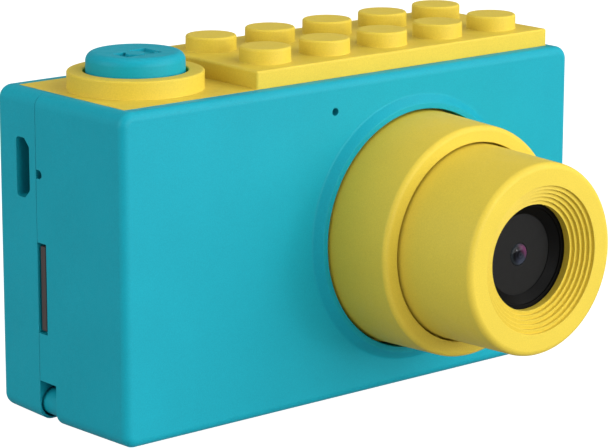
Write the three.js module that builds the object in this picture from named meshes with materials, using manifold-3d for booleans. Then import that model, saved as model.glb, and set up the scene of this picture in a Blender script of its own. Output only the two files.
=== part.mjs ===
// Toy compact camera with a stepped lens barrel and a building-brick top panel.
// Millimetres, +Z up. Lengths are first laid out from the body's left, front and bottom faces
// (x to the right seen from the front, y from the front face to the back, z up). Every finished
// piece is then moved so that the origin is the centre of the body's flat bottom.
import * as THREE from 'three';
import { mergeVertices } from 'three/addons/utils/BufferGeometryUtils.js';
import Module from 'manifold-3d';

const wasm = await Module();
wasm.setup();

// ---------------------------------------------------------------- driving dimensions
const WIDTH = 76.5, DEPTH = 26.5, HEIGHT = 42.5;   // body box
const ROUND = 1.8;                                 // corners of the body's outline seen from the front
const RIM = 1.1;                                   // edges round the front face and the back face
const WALL = 2.0;                                  // shell thickness
const PARTING = 17.85;                             // plane where the two covers meet
const SEAM = 0.2;                                  // gap between the covers
const GAP = 0.3;                                   // play between pieces that do not touch

const PANEL = { x0: 2.3, x1: 74.2, y0: 2.25, y1: 24.4, thick: 1.5 };   // yellow top panel
const LEDGE = { z0: 39.0, z1: 40.8 };              // shelf in both covers that carries the panel
const BLOCK = { x0: 23.1, height: 2.3 };           // raised brick area of the panel
const STUD = { r: 3.35, height: 2.0, x0: 28.8, y0: 7.6, pitchX: 10, pitchY: 11.1, columns: 5, rows: 2 };
const RING = { x: 12.3, y: 13.2, r: 8.7, height: 2.35 };               // collar round the shutter button
const SHUTTER = { r: 6.33, top: 47.2, round: 1.1, flangeR: 7.4, stemR: 1.8 };

const LENS = { x: 48.05, z: 21.4 };                // lens axis, along y
const COLLAR = { r: 17.7, lipR: 16.65, bore: 15.95, rise: 1.05 };
// Both barrels narrow a little towards the front: r at the front rim, rootR where they come out.
const OUTER = { r: 15.2, rootR: 15.75, hole: 13.1, front: -11.1, flangeR: 18.0, flangeBack: 5.7, wall: 1.2 };
const INNER = { r: 12.45, rootR: 12.9, front: -23.7, mouthR: 9.55, floorR: 6.87, steps: 5, stepDepth: 0.36,
  flangeR: 13.75, wall: 1.25 };
const BEZEL = { front: -20.75, back: -16.9, r: 10.9, eyeR: 5.25, eyeY: -19.7 };
const GLASS = { r: 1.45, front: -19.95 };
const LENS_EARS = [45, 225, 315].map(THREE.MathUtils.degToRad);
const EAR_RADIUS = 19.6;

const MIC = { x: 34.15, z: 38.6, r: 0.5 };
const CARD = { x0: 0.2, length: 15, width: 11, thick: 0.8, y0: 16.45, z: 17.58 };   // microSD outline
const USB = { y0: 19.25, y1: 22.15, z: 32.67, width: 7.7, chamfer: 1.05 };           // opening in the wall
const LED = { y: 17.2, z: 32.3, r: 0.57 };
const STRAP = { y0: 14.4, x1: 6.0, z1: 5.4, postX: 2.3, postZ: 2.25, postR: 1.75, wall: 1.5,
  socket: 1.2 };

const WINDOW = { x: 46.3, z: 20.9, w: 43, h: 33, r: 2.5, thick: 1.2 };   // display window in the back
const PAD = { x: 15.6, z: 16.5, okR: 2.7, r0: 3.6, r1: 7.2 };            // round key pad on the back
const ROUND_KEYS = { power_key: [11.6, 33], menu_key: [19.6, 33] };
const ROUND_KEY_R = 2.4;
const KEY = { front: 23.0, flange: 24.2, back: 27.0, rim: 0.7, play: 0.25 };
const ARROW_KEYS = { right_key: Math.PI, up_key: Math.PI / 2, left_key: 0, down_key: -Math.PI / 2 };

const BOARD_Y = [17.98, 18.98];                    // main circuit board
const CASE_SCREWS = [[5.4, 25.9], [10.5, 5.2], [71.3, 35.5], [71.3, 6.0]];
const BOARD_SCREWS = [[29, 12], [29, 33], [69.2, 21.4]];
const PANEL_SCREWS = [[30.5, 10], [67, 10]];
const SPEAKER = { x: 52, y: 11.8, r: 5.6, z0: 2.3, thick: 3.3 };
const BACK_WALL = DEPTH - WALL;

// ---------------------------------------------------------------- looks
const look = (color, roughness, metalness = 0, opacity = 1) =>
  new THREE.MeshStandardMaterial({ color, roughness, metalness, opacity, transparent: opacity < 1 });
const LOOKS = {
  teal: () => look(0x2bb4c8, 0.55), yellow: () => look(0xf5d44a, 0.55), black: () => look(0x191919, 0.6),
  disc: () => look(0x282828, 0.5), glass: () => look(0x2a2030, 0.05, 0, 0.5),
  window: () => look(0x101214, 0.08, 0, 0.6), board: () => look(0x1c6b3c, 0.55),
  flex: () => look(0xb7762a, 0.5), metal: () => look(0xb9bcc0, 0.35, 0.9),
  screw: () => look(0x8f9296, 0.35, 0.9),
  battery: () => look(0xc9ccd0, 0.4, 0.3), rubber: () => look(0xd9d9d4, 0.8), card: () => look(0x2b2422, 0.5),
  lamp: () => look(0xe8e4d8, 0.3), key: () => look(0xf5d44a, 0.5),
};

// ---------------------------------------------------------------- solids
function solid(geometry) {
  const bare = geometry.clone();
  bare.deleteAttribute('normal');
  bare.deleteAttribute('uv');
  const merged = mergeVertices(bare, 1e-4);
  const p = merged.attributes.position, source = merged.index.array;
  const faces = [];
  let volume = 0;
  const a = new THREE.Vector3(), b = new THREE.Vector3(), c = new THREE.Vector3();
  for (let i = 0; i < source.length; i += 3) {
    const [u, v, w] = [source[i], source[i + 1], source[i + 2]];
    if (u === v || v === w || w === u) continue;
    faces.push([u, v, w]);
    volume += a.fromBufferAttribute(p, u).dot(b.fromBufferAttribute(p, v).cross(c.fromBufferAttribute(p, w)));
  }
  const triVerts = Uint32Array.from(faces.flatMap(([u, v, w]) => (volume < 0 ? [u, w, v] : [u, v, w])));
  return new wasm.Manifold(new wasm.Mesh({ numProp: 3, vertProperties: p.array, triVerts }));
}

const union = (...all) => all.reduce((whole, piece) => whole.add(piece));
const cut = (whole, ...tools) => tools.reduce((rest, tool) => rest.subtract(tool), whole);

function box(x0, x1, y0, y1, z0, z1) {
  const g = new THREE.BoxGeometry(x1 - x0, y1 - y0, z1 - z0);
  return solid(g.translate((x0 + x1) / 2, (y0 + y1) / 2, (z0 + z1) / 2));
}

function rodY(x, z, r, y0, y1, segments = 20) {
  return solid(new THREE.CylinderGeometry(r, r, y1 - y0, segments).translate(x, (y0 + y1) / 2, z));
}

function rodZ(x, y, r, z0, z1, segments = 32) {
  const g = new THREE.CylinderGeometry(r, r, z1 - z0, segments).rotateX(Math.PI / 2);
  return solid(g.translate(x, y, (z0 + z1) / 2));
}

function rodX(y, z, r, x0, x1, segments = 16) {
  const g = new THREE.CylinderGeometry(r, r, x1 - x0, segments).rotateZ(Math.PI / 2);
  return solid(g.translate((x0 + x1) / 2, y, z));
}

// A profile of [radius, y] points turned about the lens axis, or [radius, z] about a vertical axis.
function turnY(profile, x = LENS.x, z = LENS.z, segments = 48) {
  const g = new THREE.LatheGeometry(profile.map(([r, y]) => new THREE.Vector2(r, y)), segments);
  return solid(g.translate(x, 0, z));
}

function turnZ(profile, x, y, segments = 32) {
  const g = new THREE.LatheGeometry(profile.map(([r, z]) => new THREE.Vector2(r, z)), segments);
  return solid(g.rotateX(Math.PI / 2).translate(x, y, 0));
}

// Quarter-circle points of an outer edge, from the side wall round to the end face.
function edge(r, h, round, turn, steps = 3) {
  return Array.from({ length: steps + 1 }, (_, i) => {
    const t = (i / steps) * Math.PI / 2;
    return [r - round + round * Math.cos(t), h + turn * (-round + round * Math.sin(t))];
  });
}

function roundRect(x0, x1, z0, z1, r) {
  const s = new THREE.Shape();
  s.absarc(x1 - r, z0 + r, r, -Math.PI / 2, 0);
  s.absarc(x1 - r, z1 - r, r, 0, Math.PI / 2);
  s.absarc(x0 + r, z1 - r, r, Math.PI / 2, Math.PI);
  s.absarc(x0 + r, z0 + r, r, Math.PI, Math.PI * 1.5);
  return s;
}

// An outline in x and z, pushed along y.
function slabY(shape, y0, y1, round = 0, curveSegments = 6) {
  const g = new THREE.ExtrudeGeometry(shape, {
    depth: y1 - y0 - 2 * round, curveSegments, bevelEnabled: round > 0,
    bevelSize: round, bevelThickness: round, bevelOffset: -round, bevelSegments: 4,
  });
  return solid(g.rotateX(Math.PI / 2).translate(0, y1 - round, 0));
}

const camera = new THREE.Group();
camera.name = 'kids_camera';

function add(name, body, material) {
  const { vertProperties, triVerts } = body.getMesh();
  const indexed = new THREE.BufferGeometry();
  indexed.setAttribute('position', new THREE.BufferAttribute(Float32Array.from(vertProperties), 3));
  indexed.setIndex(Array.from(triVerts));
  const geometry = indexed.toNonIndexed().translate(-WIDTH / 2, -DEPTH / 2, 0);
  geometry.computeVertexNormals();
  const mesh = new THREE.Mesh(geometry, material);
  mesh.name = name;
  camera.add(mesh);
}

// ---------------------------------------------------------------- covers
const earPlaces = LENS_EARS.map((t) =>
  [LENS.x + EAR_RADIUS * Math.cos(t), LENS.z + EAR_RADIUS * Math.sin(t)]);

const outerBody = slabY(roundRect(0, WIDTH, 0, HEIGHT, ROUND), 0, DEPTH, RIM);
const cavity = box(WALL, WIDTH - WALL, WALL, BACK_WALL, WALL, LEDGE.z0);

// Both covers share the recess that takes the top panel and the well under the shutter button.
const panelRecess = box(PANEL.x0 - 0.2, PANEL.x1 + 0.2, PANEL.y0 - 0.2, PANEL.y1 + 0.2, LEDGE.z1, HEIGHT + 1);
const shutterWell = rodZ(RING.x, RING.y, SHUTTER.flangeR + 0.6, LEDGE.z0 - 1, LEDGE.z1 + 1);
const hollow = cut(outerBody, cavity, panelRecess, shutterWell);

function frontCover() {
  const strapPocket = box(-1, STRAP.x1, STRAP.y0, PARTING + 1, -1, STRAP.z1);
  const strapHousing = box(1, STRAP.x1 + STRAP.wall, STRAP.y0 - STRAP.wall, PARTING - SEAM / 2, 1,
    STRAP.z1 + STRAP.wall);
  const strapPost = rodY(STRAP.postX, STRAP.postZ, STRAP.postR, STRAP.y0 - 0.5,
    PARTING + STRAP.socket - GAP, 24);
  const collar = turnY([[COLLAR.bore, 0.5], [COLLAR.r, 0.5], [COLLAR.r, 0], [COLLAR.lipR, -COLLAR.rise],
    [COLLAR.bore, -COLLAR.rise], [COLLAR.bore, 0.5]]);
  const posts = [...CASE_SCREWS, ...BOARD_SCREWS].map(([x, z]) => rodY(x, z, 1.9, 1, PARTING - SEAM / 2));
  const ears = earPlaces.map(([x, z]) => rodY(x, z, 2.0, 1, 4.0));
  const pilot = [...CASE_SCREWS, ...BOARD_SCREWS].map(([x, z]) => rodY(x, z, 1.05, 8, PARTING + 1, 12));
  const earPilot = earPlaces.map(([x, z]) => rodY(x, z, 0.85, 1.0, 5, 12));
  const panelHoles = PANEL_SCREWS.map(([x, y]) => rodZ(x, y, 1.1, LEDGE.z0 - 1, LEDGE.z1 + 1, 12));
  const speakerHoles = Array.from({ length: 7 }, (_, i) => {
    const t = (i / 6) * Math.PI * 2, r = i === 6 ? 0 : 2.4;
    return rodZ(SPEAKER.x + r * Math.cos(t), SPEAKER.y + r * Math.sin(t), 0.6, -1, WALL + 1, 10);
  });
  const half = box(-1, WIDTH + 1, -1, PARTING - SEAM / 2, -1, HEIGHT + 1);
  return cut(
    union(cut(union(hollow.intersect(half), strapHousing, ...posts), strapPocket),
      strapPost, collar, ...ears),
    rodY(LENS.x, LENS.z, COLLAR.bore, -1, WALL + 1, 56),
    rodY(LENS.x, LENS.z, OUTER.flangeR + GAP, WALL, OUTER.flangeBack + GAP, 56),
    rodY(MIC.x, MIC.z, MIC.r, -1, WALL + 1, 16),
    rodY(MIC.x, MIC.z, 1.8, WALL, 4.6, 20),
    box(-1, WALL + 1, CARD.y0 - 0.5, PARTING + 1, CARD.z - 5.92, CARD.z + 5.92),
    rodX(LED.y, LED.z, LED.r, -1, WALL + 1),
    box(-1, WALL + 1, LED.y, PARTING + 1, LED.z - LED.r, LED.z + LED.r),
    ...pilot, ...earPilot, ...panelHoles, ...speakerHoles);
}

// The port is a flat-backed slot whose front corners are cut off, as on the plug.
function portShape(grow) {
  const half = USB.width / 2 + grow, y0 = USB.y0 - grow, y1 = USB.y1 + grow;
  const s = new THREE.Shape();
  s.moveTo(-half, y1);
  s.lineTo(-half, y0 + USB.chamfer);
  s.lineTo(-half + USB.chamfer, y0);
  s.lineTo(half - USB.chamfer, y0);
  s.lineTo(half, y0 + USB.chamfer);
  s.lineTo(half, y1);
  s.closePath();
  return s;
}

// Port outlines lie in z and y, and are pushed along x from x0 to x1.
function port(grow, x0, x1) {
  const g = new THREE.ExtrudeGeometry(portShape(grow), { depth: x1 - x0, bevelEnabled: false });
  return solid(g.rotateY(-Math.PI / 2).translate(x1, 0, USB.z));
}

function arrowShape(r0, r1, turn) {
  const half = THREE.MathUtils.degToRad(38);
  const s = new THREE.Shape();
  s.absarc(PAD.x, PAD.z, r1, turn - half, turn + half, false);
  s.absarc(PAD.x, PAD.z, r0, turn + half, turn - half, true);
  s.closePath();
  return s;
}

function rearCover() {
  const tubes = CASE_SCREWS.map(([x, z]) => rodY(x, z, 2.4, PARTING + SEAM / 2, BACK_WALL + 0.5));
  const strapWall = box(1, STRAP.x1 + STRAP.wall, PARTING + SEAM / 2, 20, 1, STRAP.z1 + STRAP.wall);
  const half = box(-1, WIDTH + 1, PARTING + SEAM / 2, DEPTH + 1, -1, HEIGHT + 1);
  const w = WINDOW;
  const around = (grow, r) =>
    roundRect(w.x - w.w / 2 - grow, w.x + w.w / 2 + grow, w.z - w.h / 2 - grow, w.z + w.h / 2 + grow, r);
  const lip = around(-1.2, 1.6);
  const seat = around(0.15, w.r);
  const keyHoles = Object.values(ARROW_KEYS).map((turn) =>
    slabY(arrowShape(PAD.r0 - KEY.play, PAD.r1 + KEY.play, turn), BACK_WALL - 1, DEPTH + 1));
  return cut(
    union(hollow.intersect(half), strapWall, ...tubes),
    port(0, -1, WALL + 1),
    slabY(lip, BACK_WALL - 1, DEPTH + 1),
    slabY(seat, DEPTH - 1.6, DEPTH + 1),
    ...keyHoles,
    rodY(PAD.x, PAD.z, PAD.okR + KEY.play, BACK_WALL - 1, DEPTH + 1, 32),
    ...Object.values(ROUND_KEYS).map(([x, z]) =>
      rodY(x, z, ROUND_KEY_R + KEY.play, BACK_WALL - 1, DEPTH + 1, 32)),
    ...CASE_SCREWS.map(([x, z]) => rodY(x, z, 1.15, PARTING - 1, DEPTH + 1, 16)),
    ...CASE_SCREWS.map(([x, z]) => rodY(x, z, 1.75, 24.3, DEPTH + 1, 20)),
    rodY(STRAP.postX, STRAP.postZ, STRAP.postR + GAP, PARTING, PARTING + STRAP.socket, 24),
    box(STRAP.postX - 0.3, STRAP.x1, PARTING, PARTING + STRAP.socket, STRAP.postZ, STRAP.z1));
}

// ---------------------------------------------------------------- top
function topPanel() {
  const z0 = HEIGHT - PANEL.thick, blockTop = HEIGHT + BLOCK.height;
  const plate = box(PANEL.x0, PANEL.x1, PANEL.y0, PANEL.y1, z0, HEIGHT);
  const block = box(BLOCK.x0, PANEL.x1, PANEL.y0, PANEL.y1, z0, blockTop);
  const core = box(BLOCK.x0 + 1.8, PANEL.x1 - 1.8, PANEL.y0 + 1.8, PANEL.y1 - 1.8, z0 - 1, blockTop - 1.6);
  const bosses = PANEL_SCREWS.map(([x, y]) => rodZ(x, y, 2.0, z0, blockTop - 1, 16));
  const pilots = PANEL_SCREWS.map(([x, y]) => rodZ(x, y, 0.95, z0 - 1, blockTop - 1, 12));
  const ringTop = HEIGHT + RING.height;
  const ring = turnZ([[0, z0], [RING.r, z0], ...edge(RING.r, ringTop, 0.3, 1, 2), [0, ringTop]],
    RING.x, RING.y, 48);
  const studs = [];
  for (let row = 0; row < STUD.rows; row++) {
    for (let column = 0; column < STUD.columns; column++) {
      const top = blockTop + STUD.height;
      const profile = [[0, blockTop - 0.5], [STUD.r, blockTop - 0.5], ...edge(STUD.r, top, 0.4, 1, 2),
        [0, top]];
      studs.push(turnZ(profile, STUD.x0 + column * STUD.pitchX, STUD.y0 + row * STUD.pitchY, 28));
    }
  }
  const shell = union(cut(union(plate, block), core), ...bosses, ring, ...studs);
  return cut(shell, rodZ(RING.x, RING.y, SHUTTER.r + GAP, z0 - 1, ringTop + 1, 40), ...pilots);
}

function shutterButton() {
  const flangeTop = HEIGHT - PANEL.thick - GAP;
  return turnZ([[0, 37.8], [SHUTTER.stemR, 37.8], [SHUTTER.stemR, flangeTop - 1.3],
    [SHUTTER.flangeR, flangeTop - 1.3],
    [SHUTTER.flangeR, flangeTop], [SHUTTER.r, flangeTop],
    ...edge(SHUTTER.r, SHUTTER.top, SHUTTER.round, 1, 4), [0, SHUTTER.top]], RING.x, RING.y, 40);
}

// ---------------------------------------------------------------- lens
function outerBarrel() {
  const { r, rootR, hole, front, flangeR, flangeBack, wall } = OUTER;
  const tube = turnY([[hole, front], ...edge(r, front, 0.7, -1).reverse(), [rootR, WALL + GAP],
    [flangeR, WALL + GAP], [flangeR, flangeBack], [r - wall, flangeBack], [r - wall, front + 1.8],
    [hole, front + 1.8], [hole, front]]);
  const ears = earPlaces.map(([x, z]) => rodY(x, z, 2.2, 4.2, flangeBack));
  const bridges = LENS_EARS.map((t) => {
    const g = new THREE.BoxGeometry(3.2, flangeBack - 4.2, 4.4);
    g.translate(EAR_RADIUS - 1.6, (4.2 + flangeBack) / 2, 0).rotateY(-t);
    return solid(g.translate(LENS.x, 0, LENS.z));
  });
  const holes = earPlaces.map(([x, z]) => rodY(x, z, 0.95, 3, flangeBack + 1, 12));
  return cut(union(tube, ...ears, ...bridges), ...holes);
}

function innerBarrel() {
  const { r, rootR, front, mouthR, floorR, steps, stepDepth, flangeR, wall } = INNER;
  const floor = BEZEL.front - 0.15, shoulder = OUTER.front + 1.8 + GAP;
  const drop = (mouthR - floorR) / steps;
  const terraces = [];
  for (let i = 0; i < steps; i++) {
    const edgeR = mouthR - i * drop;
    terraces.push([edgeR, front + i * stepDepth], [edgeR, front + (i + 1) * stepDepth]);
  }
  return turnY([...terraces, [floorR, front + steps * stepDepth], [floorR, floor], [r - wall, floor],
    [r - wall, shoulder + 1.4], [flangeR, shoulder + 1.4], [flangeR, shoulder], [rootR, shoulder],
    ...edge(r, front, 0.8, -1), [mouthR, front]]);
}

function lensBezel() {
  const { front, back, r, eyeR, eyeY } = BEZEL;
  const body = turnY([[INNER.floorR - 0.02, front], [r, front], [r, back], [6.5, back], [6.5, eyeY + 0.05],
    [eyeR, eyeY + 0.05], [eyeR, eyeY], [6.35, front + 0.25], [6.35, front + 0.12],
    [INNER.floorR - 0.02, front]]);
  return cut(body, ...[-8.8, 8.8].map((dx) => rodY(LENS.x + dx, LENS.z, 0.8, -19.4, back + 1, 12)));
}

function cameraModule() {
  const half = 4.25;
  return union(rodY(LENS.x, LENS.z, 3.2, -18.2, -14.9, 28),
    box(LENS.x - half, LENS.x + half, -15.2, -12.6, LENS.z - half, LENS.z + half));
}

function moduleBracket() {
  return cut(rodY(LENS.x, LENS.z, BEZEL.r, BEZEL.back + GAP, -15.5, 40),
    rodY(LENS.x, LENS.z, 3.4, -18, -15, 28),
    ...[-8.8, 8.8].map((dx) => rodY(LENS.x + dx, LENS.z, 0.9, -18, -14, 12)));
}

// Ribbon from the sensor board back to the main board, with one soft fold.
function sensorFlex() {
  const t = 0.25, low = LENS.z - 5.2, back = BOARD_Y[0] - 0.35;
  const line = [[-11.7, LENS.z - 3], [-10.6, LENS.z - 3], [-9, low], [back - 3, low], [back, low - 3],
    [back, low - 8]];
  const s = new THREE.Shape();
  line.forEach(([y, z], i) => (i ? s.lineTo(y, z) : s.moveTo(y, z)));
  line.slice().reverse().forEach(([y, z]) => s.lineTo(y - t, z - t));
  s.closePath();
  const g = new THREE.ExtrudeGeometry(s, { depth: 6, bevelEnabled: false });
  // the outline is drawn in y and z: turn it so that the push runs along x
  g.applyMatrix4(new THREE.Matrix4().set(0, 0, 1, LENS.x - 3, 1, 0, 0, 0, 0, 1, 0, 0, 0, 0, 0, 1));
  return solid(g);
}

// ---------------------------------------------------------------- inside and back
function mainBoard() {
  const [y0, y1] = BOARD_Y;
  const plate = box(2.6, 72, y0, y1, 7.4, 38.0);
  return cut(plate,
    box(68.4, 75, y0 - 1, y1 + 1, 32.6, 39), box(68.4, 75, y0 - 1, y1 + 1, 7, 8.9),
    box(2, CASE_SCREWS[0][0], y0 - 1, y1 + 1, CASE_SCREWS[0][1] - 2.7, CASE_SCREWS[0][1] + 2.7),
    ...CASE_SCREWS.slice(0, 2).map(([x, z]) => rodY(x, z, 2.7, y0 - 1, y1 + 1)),
    ...BOARD_SCREWS.map(([x, z]) => rodY(x, z, 1.15, y0 - 1, y1 + 1, 12)));
}

const keyBoard = () => box(8.4, 23.3, 20.2, 21.0, 7.9, 37.4);

function domeSheet() {
  const places = [[PAD.x, PAD.z], ...Object.values(ROUND_KEYS), ...Object.values(ARROW_KEYS).map((t) => [
    PAD.x + 5.4 * Math.cos(t), PAD.z + 5.4 * Math.sin(t)])];
  const domes = places.map(([x, z]) => turnY([[0, 21.4], [1.7, 21.4], [1.2, 22.2], [0, 22.2]], x, z, 16));
  return union(box(8.6, 23.1, 21.2, 21.6, 8.1, 37.2), ...domes);
}

function roundKey(x, z, r) {
  return turnY([[0, KEY.front], [r + KEY.rim, KEY.front], [r + KEY.rim, KEY.flange], [r, KEY.flange],
    ...edge(r, KEY.back, 0.35, 1, 2), [0, KEY.back]], x, z, 28);
}

function arrowKey(turn) {
  return union(slabY(arrowShape(PAD.r0, PAD.r1, turn), KEY.flange - 0.5, KEY.back, 0.3, 5),
    slabY(arrowShape(PAD.r0 + 0.1, PAD.r1 + KEY.rim, turn), KEY.front, KEY.flange, 0, 5));
}

function displayWindow() {
  const w = WINDOW;
  const outline = roundRect(w.x - w.w / 2, w.x + w.w / 2, w.z - w.h / 2, w.z + w.h / 2, w.r - 0.15);
  return slabY(outline, DEPTH - 0.3 - w.thick, DEPTH - 0.3);
}

const usbShell = () => cut(port(-0.15, 2.2, 7.6), port(-0.45, 1, 7.0));
const usbTongue = () => box(3.2, 6.8, 20.2, 20.9, USB.z - 1.9, USB.z + 1.9);

function cardSocket() {
  const { y0, z } = CARD;
  const body = box(3.0, 16.6, 15.95, 17.75, z - 6.35, z + 6.25);
  return cut(body, box(2, 16.0, y0 - 0.15, y0 + CARD.thick + 0.15, z - 5.7, z + 5.7));
}

function card() {
  const { x0, length, width, thick, y0, z } = CARD;
  const s = new THREE.Shape();
  s.moveTo(x0, z - width / 2);
  s.lineTo(x0 + length, z - width / 2);
  s.lineTo(x0 + length, z + width / 2 - 1.6);
  s.lineTo(x0 + length - 1.6, z + width / 2);
  s.lineTo(x0, z + width / 2);
  s.closePath();
  return slabY(s, y0, y0 + thick);
}

// Screw along y whose head points to the back, or along z whose head points down.
const screwY = (x, z, tip, seat, shankR, headR, headH) =>
  turnY([[0, tip], [shankR, tip + 0.4], [shankR, seat], [headR, seat], [headR, seat + headH],
    [0, seat + headH]],
    x, z, 12);
const screwZ = (x, y, tip, seat, shankR, headR, headH) =>
  turnZ([[0, seat - headH], [headR, seat - headH], [headR, seat], [shankR, seat], [shankR, tip - 0.4],
    [0, tip]],
    x, y, 12);

// ---------------------------------------------------------------- assembly
add('front_cover', frontCover(), LOOKS.teal());
add('rear_cover', rearCover(), LOOKS.teal());
add('top_panel', topPanel(), LOOKS.yellow());
add('shutter_button', shutterButton(), LOOKS.teal());
add('shutter_switch', union(box(RING.x - 3, RING.x + 3, RING.y - 3, RING.y + 3, 34.2, 36.0),
  rodZ(RING.x, RING.y, 1.6, 35.5, 36.6, 16)), LOOKS.black());
add('shutter_board', box(RING.x - 6, RING.x + 6, 9.8, 16.6, 33.0, 34.0), LOOKS.board());

add('lens_outer_barrel', outerBarrel(), LOOKS.yellow());
add('lens_inner_barrel', innerBarrel(), LOOKS.yellow());
add('lens_bezel', lensBezel(), LOOKS.black());
add('lens_disc', turnY([[1.7, -19.6], [6.2, -19.6], [6.2, -18.9], [1.7, -18.9], [1.7, -19.6]]), LOOKS.disc());
add('lens_glass', turnY([[0, GLASS.front], [0.75, GLASS.front + 0.13], [GLASS.r, GLASS.front + 0.55],
  [GLASS.r, -18.5], [0, -18.5]], LENS.x, LENS.z, 28), LOOKS.glass());
add('camera_module', cameraModule(), LOOKS.black());
add('module_bracket', moduleBracket(), LOOKS.black());
add('sensor_board', box(LENS.x - 6, LENS.x + 6, -12.4, -11.9, LENS.z - 6, LENS.z + 6), LOOKS.board());
add('sensor_flex', sensorFlex(), LOOKS.flex());

add('main_board', mainBoard(), LOOKS.board());
add('battery', slabY(roundRect(7.9, 26.5, 7.6, 37.0, 1.5), 3.0, 9.2), LOOKS.battery());
add('lcd_module', box(WINDOW.x - 21.2, WINDOW.x + 21.2, 21.9, 24.2, WINDOW.z - 16.2, WINDOW.z + 16.2),
  LOOKS.metal());
add('display_window', displayWindow(), LOOKS.window());
add('key_board', keyBoard(), LOOKS.board());
add('dome_sheet', domeSheet(), LOOKS.rubber());
add('ok_key', roundKey(PAD.x, PAD.z, PAD.okR), LOOKS.key());
for (const [name, turn] of Object.entries(ARROW_KEYS)) add(name, arrowKey(turn), LOOKS.key());
for (const [name, [x, z]] of Object.entries(ROUND_KEYS)) add(name, roundKey(x, z, ROUND_KEY_R), LOOKS.key());

add('usb_shell', usbShell(), LOOKS.metal());
add('usb_tongue', usbTongue(), LOOKS.black());
add('microsd_socket', cardSocket(), LOOKS.metal());
add('microsd_card', card(), LOOKS.card());
add('charge_lamp', box(2.7, 4.4, 17.0, 17.8, LED.z - 0.6, LED.z + 0.6), LOOKS.lamp());
add('microphone', rodY(MIC.x, MIC.z, 1.5, WALL + 0.2, 4.3, 20), LOOKS.metal());
add('speaker', rodZ(SPEAKER.x, SPEAKER.y, SPEAKER.r, SPEAKER.z0, SPEAKER.z0 + SPEAKER.thick, 32),
  LOOKS.black());

CASE_SCREWS.forEach(([x, z], i) =>
  add(`case_screw_${i + 1}`, screwY(x, z, 9.5, 24.35, 0.95, 1.5, 1.1), LOOKS.screw()));
earPlaces.forEach(([x, z], i) =>
  add(`lens_screw_${i + 1}`, screwY(x, z, 1.2, 5.75, 0.75, 1.4, 0.9), LOOKS.screw()));
BOARD_SCREWS.forEach(([x, z], i) =>
  add(`board_screw_${i + 1}`, screwY(x, z, 11, 19.03, 0.95, 1.7, 0.9), LOOKS.screw()));
PANEL_SCREWS.forEach(([x, y], i) => add(`panel_screw_${i + 1}`,
  screwZ(x, y, HEIGHT + 0.9, LEDGE.z0 - 0.05, 0.85, 1.7, 1.0), LOOKS.screw()));
[-8.8, 8.8].forEach((dx, i) => add(`bracket_screw_${i + 1}`,
  screwY(LENS.x + dx, LENS.z, -19.0, -15.45, 0.7, 1.3, 0.8), LOOKS.screw()));

export default camera;
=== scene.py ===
"""Looks of the toy camera.

Shapes are laid out in millimetres from the body's left, front and bottom faces (x to the right seen from
the front, y from the front face to the back, z up) and then placed in the shared frame.
"""
import math

import bmesh
import bpy
from mathutils import Matrix, Vector


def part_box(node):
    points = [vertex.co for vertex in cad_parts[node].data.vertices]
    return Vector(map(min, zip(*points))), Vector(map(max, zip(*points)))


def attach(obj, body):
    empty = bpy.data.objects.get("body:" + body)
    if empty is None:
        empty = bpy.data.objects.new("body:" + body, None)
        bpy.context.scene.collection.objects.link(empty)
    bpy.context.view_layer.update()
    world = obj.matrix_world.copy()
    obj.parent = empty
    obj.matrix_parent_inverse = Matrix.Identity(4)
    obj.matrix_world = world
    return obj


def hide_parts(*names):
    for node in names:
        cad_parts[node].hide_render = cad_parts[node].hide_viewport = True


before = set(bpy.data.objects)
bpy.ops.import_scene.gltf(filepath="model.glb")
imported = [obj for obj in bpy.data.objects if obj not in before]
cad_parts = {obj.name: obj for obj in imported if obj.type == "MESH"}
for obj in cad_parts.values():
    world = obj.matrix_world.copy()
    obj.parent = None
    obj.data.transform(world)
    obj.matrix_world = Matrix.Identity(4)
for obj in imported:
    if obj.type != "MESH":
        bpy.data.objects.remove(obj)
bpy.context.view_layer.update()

MM = 0.001
DEPTH = 26.5
rear_low, rear_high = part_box("rear_cover")
ORIGIN = Vector((rear_low.x, rear_high.y - DEPTH * MM, rear_low.z))


def laid_out(node):
    """The box of a CAD node in layout millimetres."""
    low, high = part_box(node)
    return (low - ORIGIN) / MM, (high - ORIGIN) / MM


# ---------------------------------------------------------------- dimensions, in layout millimetres
WIDTH = (rear_high.x - rear_low.x) / MM
HEIGHT = (rear_high.z - rear_low.z) / MM
ROUND, RIM = 1.8, 1.1
DRAFT_FRONT, DRAFT_REAR = 0.25, 0.15   # how much each cover narrows away from the joint
WALL = 2.0
PARTING = laid_out("rear_cover")[0].y - 0.1
SEAM = 0.03                       # half of the visible joint between the covers
LEDGE = 40.8

panel_low, panel_high = laid_out("top_panel")
PANEL_Z = panel_low.z
STUD_TOP = panel_high.z
STUD_H = 2.0
BLOCK_TOP = STUD_TOP - STUD_H
BLOCK_X = 23.1
STUD_R, STUD_X, STUD_Y, PITCH_X, PITCH_Y = 3.35, 28.8, 7.6, 10.0, 11.1

button_low, button_high = laid_out("shutter_button")
BUTTON = (button_low + button_high) / 2
BUTTON_R, BUTTON_TOP, FLANGE_R = 6.33, button_high.z, 7.4
RING_R, RING_H = 8.7, 2.35

inner_low, inner_high = laid_out("lens_inner_barrel")
outer_low, outer_high = laid_out("lens_outer_barrel")
LENS = (inner_low + inner_high) / 2
INNER_FRONT = inner_low.y
OUTER_FRONT = outer_low.y
OUTER_R, OUTER_ROOT, OUTER_WALL, OUTER_FLANGE_R = 15.2, 15.75, 1.2, 18.0
HOLE_R = 13.1                     # the opening of the outer barrel that the inner one comes through
INNER_R, INNER_ROOT, INNER_WALL, INNER_FLANGE_R = 12.45, 12.9, 1.25, 13.75
MOUTH_R, FLOOR_R = 9.55, 6.87     # outer and inner edge of the terraces
COLLAR_RISE = -laid_out("front_cover")[0].y
BORE_R = 15.95

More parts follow.
